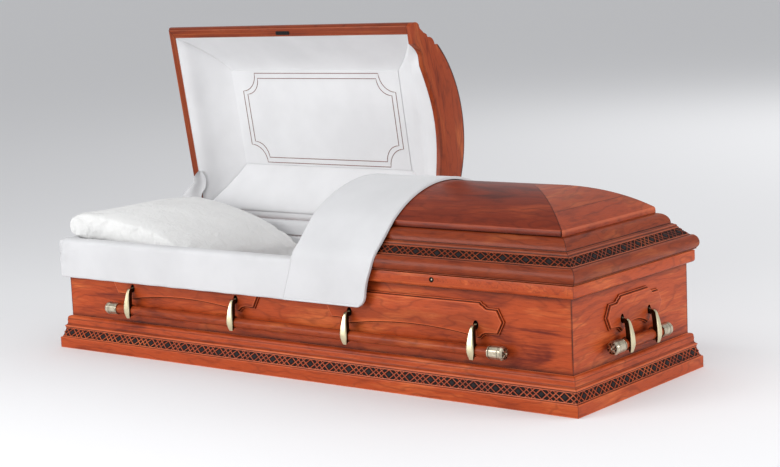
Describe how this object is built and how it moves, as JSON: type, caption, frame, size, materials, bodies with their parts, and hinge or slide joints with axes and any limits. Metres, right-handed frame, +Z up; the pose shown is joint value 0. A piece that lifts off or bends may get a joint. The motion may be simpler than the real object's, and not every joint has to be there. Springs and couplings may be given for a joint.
{
  "type": "funeral casket",
  "caption": "Half-couch wooden funeral casket with hinged vaulted lids, carved lattice mouldings, swing-bar handles and white cloth interior.",
  "frame": {"origin": "centre of the flat underside, on the floor", "axes": "+X to the foot end, +Y to the hinged back side, +Z up"},
  "size_m": [2.166, 0.914, 1.0873],
  "materials": {
    "cherry": "satin red cherry stain with dark glaze in the grooves",
    "cherry_dark": "satin dark cherry",
    "white_cloth": "matt white crepe",
    "pillow_cloth": "soft off-white crushed cloth",
    "champagne_gold": "satin champagne gold plate",
    "antique_brass": "antiqued silver-brass",
    "black_metal": "blackened steel"
  },
  "bodies": {
    "root": {"side_board_front": "cherry", "side_board_back": "cherry", "end_board_head": "cherry", "end_board_foot": "cherry", "floor_board": "cherry_dark", "base_moulding": "cherry", "rim_moulding": "cherry", "panel_front_head": "cherry", "panel_front_foot": "cherry", "panel_back_head": "cherry", "panel_back_foot": "cherry", "panel_end_head": "cherry", "panel_end_foot": "cherry", "body_lining": "white_cloth", "mattress": "white_cloth", "pillow": "pillow_cloth", "extendover": "white_cloth", "hinge_head_1": "antique_brass", "hinge_head_2": "antique_brass", "hinge_foot_1": "antique_brass", "hinge_foot_2": "antique_brass"},
    "head_lid": {"head_lid_header": "cherry", "head_lid_frame": "cherry", "head_lid_crown": "cherry", "head_lid_hip": "cherry", "head_lid_lining": "white_cloth", "head_lid_cap_panel": "white_cloth", "latch_plate": "black_metal"},
    "foot_lid": {"foot_lid_header": "cherry", "foot_lid_frame": "cherry", "foot_lid_crown": "cherry", "foot_lid_hip": "cherry", "overlay": "white_cloth"},
    "handle_front": {"bar_front": "cherry_dark", "cap_front_1": "antique_brass", "cap_front_2": "antique_brass", "arm_front_1": "champagne_gold", "arm_front_2": "champagne_gold", "arm_front_3": "champagne_gold", "arm_front_4": "champagne_gold"},
    "handle_back": {"bar_back": "cherry_dark", "cap_back_1": "antique_brass", "cap_back_2": "antique_brass", "arm_back_1": "champagne_gold", "arm_back_2": "champagne_gold", "arm_back_3": "champagne_gold", "arm_back_4": "champagne_gold"},
    "handle_foot": {"bar_foot": "cherry_dark", "cap_foot_1": "antique_brass", "cap_foot_2": "antique_brass", "arm_foot_1": "champagne_gold", "arm_foot_2": "champagne_gold"},
    "handle_head": {"bar_head": "cherry_dark", "cap_head_1": "antique_brass", "cap_head_2": "antique_brass", "arm_head_1": "champagne_gold", "arm_head_2": "champagne_gold"}
  },
  "joints": [
    {"name": "head_lid_hinge", "type": "hinge", "parent": "root", "child": "head_lid", "pos_m": [-0.5, 0.357, 0.373], "axis": [1, 0, 0], "range_deg": [0, 81], "deforming": ["extendover", "overlay", "pillow"]},
    {"name": "foot_lid_hinge", "type": "hinge", "parent": "root", "child": "foot_lid", "pos_m": [0.575, 0.357, 0.373], "axis": [-1, 0, 0], "range_deg": [0, 81]},
    {"name": "handle_front_swing", "type": "hinge", "parent": "root", "child": "handle_front", "pos_m": [0, -0.342, 0.232], "axis": [-1, 0, 0], "range_deg": [0, 70]},
    {"name": "handle_back_swing", "type": "hinge", "parent": "root", "child": "handle_back", "pos_m": [0, 0.342, 0.232], "axis": [1, 0, 0], "range_deg": [0, 70]},
    {"name": "handle_foot_swing", "type": "hinge", "parent": "root", "child": "handle_foot", "pos_m": [1.042, 0, 0.232], "axis": [0, -1, 0], "range_deg": [0, 70]},
    {"name": "handle_head_swing", "type": "hinge", "parent": "root", "child": "handle_head", "pos_m": [-1.042, 0, 0.232], "axis": [0, 1, 0], "range_deg": [0, 70]}
  ]
}
